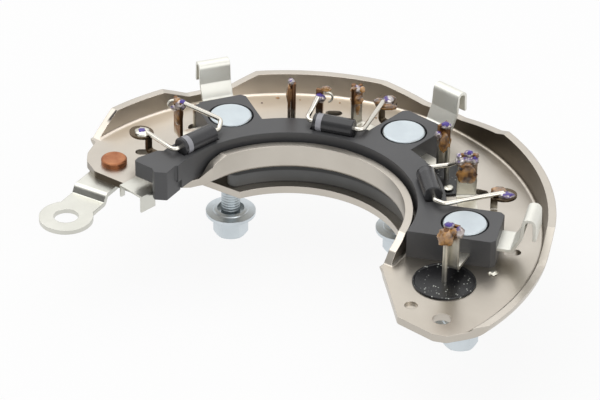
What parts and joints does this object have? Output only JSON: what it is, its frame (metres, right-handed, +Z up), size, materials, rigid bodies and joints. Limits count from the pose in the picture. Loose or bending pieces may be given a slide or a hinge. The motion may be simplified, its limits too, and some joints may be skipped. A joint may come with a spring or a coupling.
{
  "type": "alternator rectifier",
  "caption": "C-shaped alternator rectifier: two sheet heat sinks with a terminal carrier, potted and axial diodes, studs with flange nuts and a cable lug.",
  "frame": {"origin": "on the shaft axis, level with the underside of the lower heat sink", "axes": "+Z up through the stack from the lower to the upper heat sink, +X to the right and +Y away from the open front in the picture"},
  "size_m": [0.1298, 0.114, 0.0448],
  "materials": {
    "nickel_plate": "warm nickel plate over steel sheet, satin",
    "black_moulding": "dark grey glass-filled moulding, matt",
    "zinc_plate": "bright bluish zinc plate",
    "copper": "bare copper, lightly oxidised",
    "tin_plate": "tinned sheet, satin",
    "sealing_resin": "black potting resin, slightly grainy",
    "silicon": "grey silicon chip",
    "diode_case": "black epoxy case with a pale band, tinned leads",
    "tinned_wire": "tinned copper wire",
    "terminal_strip": "tinned strip with solder and flux at the top"
  },
  "bodies": {
    "root": {"axial_diode_1": "diode_case", "axial_diode_2": "diode_case", "axial_diode_3": "diode_case", "copper_rivet": "copper", "edge_clip": "tin_plate", "flange_nut_1": "zinc_plate", "flange_nut_2": "zinc_plate", "flange_nut_3": "zinc_plate", "insulating_bush_1": "black_moulding", "insulating_bush_2": "black_moulding", "insulating_bush_3": "black_moulding", "insulating_spacer": "black_moulding", "leaf_terminal_left": "terminal_strip", "leaf_terminal_rear": "terminal_strip", "leaf_terminal_right": "terminal_strip", "lower_chip_1": "silicon", "lower_chip_2": "silicon", "lower_chip_3": "silicon", "lower_heat_sink": "nickel_plate", "lower_lead_1": "tinned_wire", "lower_lead_2": "tinned_wire", "lower_lead_3": "tinned_wire", "lower_seal_1": "sealing_resin", "lower_seal_2": "sealing_resin", "lower_seal_3": "sealing_resin", "mounting_stud_1": "zinc_plate", "mounting_stud_2": "zinc_plate", "mounting_stud_3": "zinc_plate", "stator_hook_1": "tin_plate", "stator_hook_2": "tin_plate", "stator_hook_3": "tin_plate", "terminal_carrier": "black_moulding", "terminal_front": "terminal_strip", "terminal_left": "terminal_strip", "terminal_lug": "tin_plate", "terminal_rear": "terminal_strip", "terminal_rear_middle": "terminal_strip", "terminal_rear_right": "terminal_strip", "terminal_right": "terminal_strip", "terminal_right_rear": "terminal_strip", "upper_chip_1": "silicon", "upper_chip_2": "silicon", "upper_chip_3": "silicon", "upper_heat_sink": "nickel_plate", "upper_lead_1": "tinned_wire", "upper_lead_2": "tinned_wire", "upper_lead_3": "tinned_wire", "upper_seal_1": "sealing_resin", "upper_seal_2": "sealing_resin", "upper_seal_3": "sealing_resin"}
  },
  "joints": []
}
